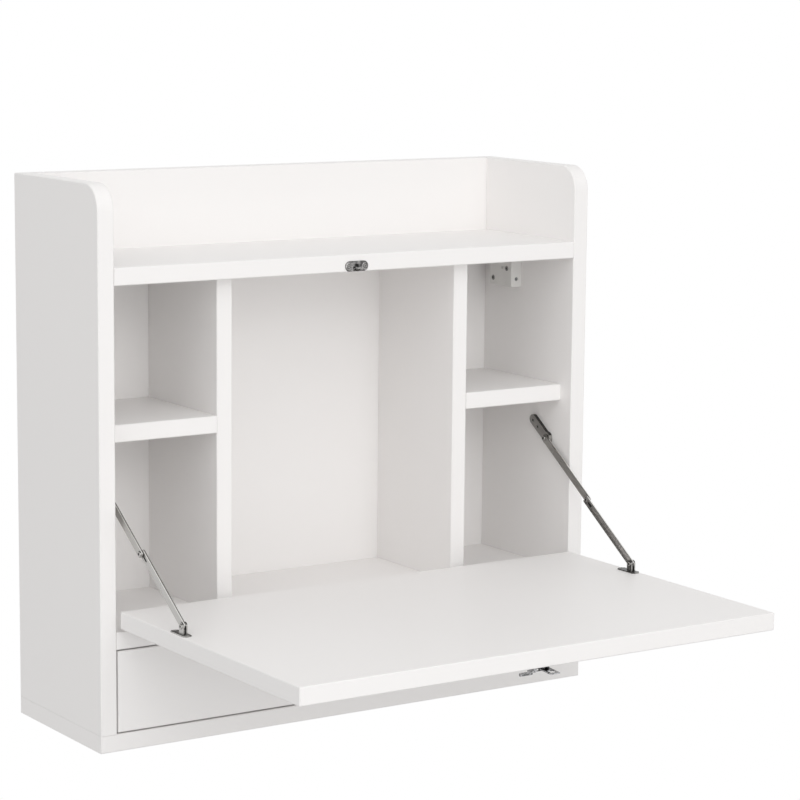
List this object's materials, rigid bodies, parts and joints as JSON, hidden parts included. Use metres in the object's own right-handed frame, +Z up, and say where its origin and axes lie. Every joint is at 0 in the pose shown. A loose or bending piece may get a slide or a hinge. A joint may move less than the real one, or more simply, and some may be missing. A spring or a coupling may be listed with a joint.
{
  "type": "fold-down wall desk",
  "caption": "Wall-hung cabinet desk: the front folds down on stays to a writing surface before shelves and dividers, with a drawer below and a toggle latch.",
  "frame": {"origin": "middle of the cabinet's back face, on the wall", "axes": "+X to the right seen from the front, +Y towards the wall, +Z up"},
  "size_m": [0.6, 0.5412, 0.572],
  "materials": {
    "white_boards": "white melamine, semi-gloss",
    "drawer_board": "white hardboard, satin",
    "stay_steel": "nickel plated",
    "latch_chrome": "chrome plated",
    "hinge_steel": "nickel plated",
    "zinc_steel": "zinc plated",
    "screw_steel": "zinc plated",
    "hanger_plastic": "white, matt",
    "runner_plastic": "white, matt"
  },
  "bodies": {
    "cabinet": {"bottom_board": "white_boards", "back_panel": "white_boards", "top_shelf": "white_boards", "compartment_floor": "white_boards", "left_side_panel": "white_boards", "left_divider": "white_boards", "left_small_shelf": "white_boards", "left_hanger_housing": "hanger_plastic", "left_hanger_hook": "zinc_steel", "left_wall_plate": "zinc_steel", "left_hanger_adjuster": "zinc_steel", "left_hinge_fixed_leaf": "hinge_steel", "left_hinge_pin": "hinge_steel", "left_stay_plate": "stay_steel", "left_shoulder_rivet": "stay_steel", "right_side_panel": "white_boards", "right_divider": "white_boards", "right_small_shelf": "white_boards", "right_hanger_housing": "hanger_plastic", "right_hanger_hook": "zinc_steel", "right_wall_plate": "zinc_steel", "right_hanger_adjuster": "zinc_steel", "right_hinge_fixed_leaf": "hinge_steel", "right_hinge_pin": "hinge_steel", "right_stay_plate": "stay_steel", "right_shoulder_rivet": "stay_steel", "strike_plate": "latch_chrome", "left_drawer_runner": "runner_plastic", "right_drawer_runner": "runner_plastic", "carcass_screws": "screw_steel"},
    "desk": {"desk_panel": "white_boards", "left_hinge_moving_leaf": "hinge_steel", "left_foot_bracket": "stay_steel", "left_foot_pin": "stay_steel", "right_hinge_moving_leaf": "hinge_steel", "right_foot_bracket": "stay_steel", "right_foot_pin": "stay_steel", "latch_base": "latch_chrome", "latch_lever_rivets": "latch_chrome", "desk_screws": "screw_steel"},
    "drawer": {"drawer_front": "white_boards", "drawer_left_side": "white_boards", "drawer_right_side": "white_boards", "drawer_back": "white_boards", "drawer_bottom": "drawer_board"},
    "lever": {"latch_lever": "latch_chrome", "latch_claw_pin": "latch_chrome"},
    "claw": {"latch_claw": "latch_chrome"},
    "left_stay_upper": {"left_upper_arm": "stay_steel", "left_upper_elbow_rivet": "stay_steel"},
    "left_stay_lower": {"left_lower_arm": "stay_steel", "left_lower_elbow_rivet": "stay_steel"},
    "right_stay_upper": {"right_upper_arm": "stay_steel", "right_upper_elbow_rivet": "stay_steel"},
    "right_stay_lower": {"right_lower_arm": "stay_steel", "right_lower_elbow_rivet": "stay_steel"}
  },
  "joints": [
    {"name": "desk_fold", "type": "hinge", "parent": "cabinet", "child": "desk", "pos_m": [0, -0.188, -0.1616], "axis": [-1, 0, 0], "range_deg": [0, 90]},
    {"name": "drawer_slide", "type": "slide", "parent": "cabinet", "child": "drawer", "axis": [0, -1, 0], "range_m": [0, 0.12]},
    {"name": "latch_lever_turn", "type": "hinge", "parent": "desk", "child": "lever", "pos_m": [0, -0.5176, -0.1644], "axis": [-1, 0, 0], "range_deg": [-20, 80]},
    {"name": "latch_claw_turn", "type": "hinge", "parent": "lever", "child": "claw", "pos_m": [0, -0.51299, -0.16342], "axis": [-1, 0, 0], "range_deg": [-96, 24]},
    {"name": "left_shoulder_turn", "type": "hinge", "parent": "cabinet", "child": "left_stay_upper", "pos_m": [-0.2765, -0.145, -0.019], "axis": [1, 0, 0], "range_deg": [0, 107.94]},
    {"name": "left_foot_turn", "type": "hinge", "parent": "desk", "child": "left_stay_lower", "pos_m": [-0.2739, -0.308, -0.1316], "axis": [1, 0, 0], "range_deg": [0, 33.07]},
    {"name": "right_shoulder_turn", "type": "hinge", "parent": "cabinet", "child": "right_stay_upper", "pos_m": [0.2765, -0.145, -0.019], "axis": [1, 0, 0], "range_deg": [0, 107.94]},
    {"name": "right_foot_turn", "type": "hinge", "parent": "desk", "child": "right_stay_lower", "pos_m": [0.2739, -0.308, -0.1316], "axis": [1, 0, 0], "range_deg": [0, 33.07]}
  ],
  "couplings": [
    {"joint": "latch_claw_turn", "follows": "latch_lever_turn", "ratio": -1.2},
    {"joint": "left_shoulder_turn", "follows": "desk_fold", "ratio": 1.1988},
    {"joint": "left_foot_turn", "follows": "desk_fold", "ratio": 0.36686},
    {"joint": "right_shoulder_turn", "follows": "desk_fold", "ratio": 1.1988},
    {"joint": "right_foot_turn", "follows": "desk_fold", "ratio": 0.36686}
  ]
}
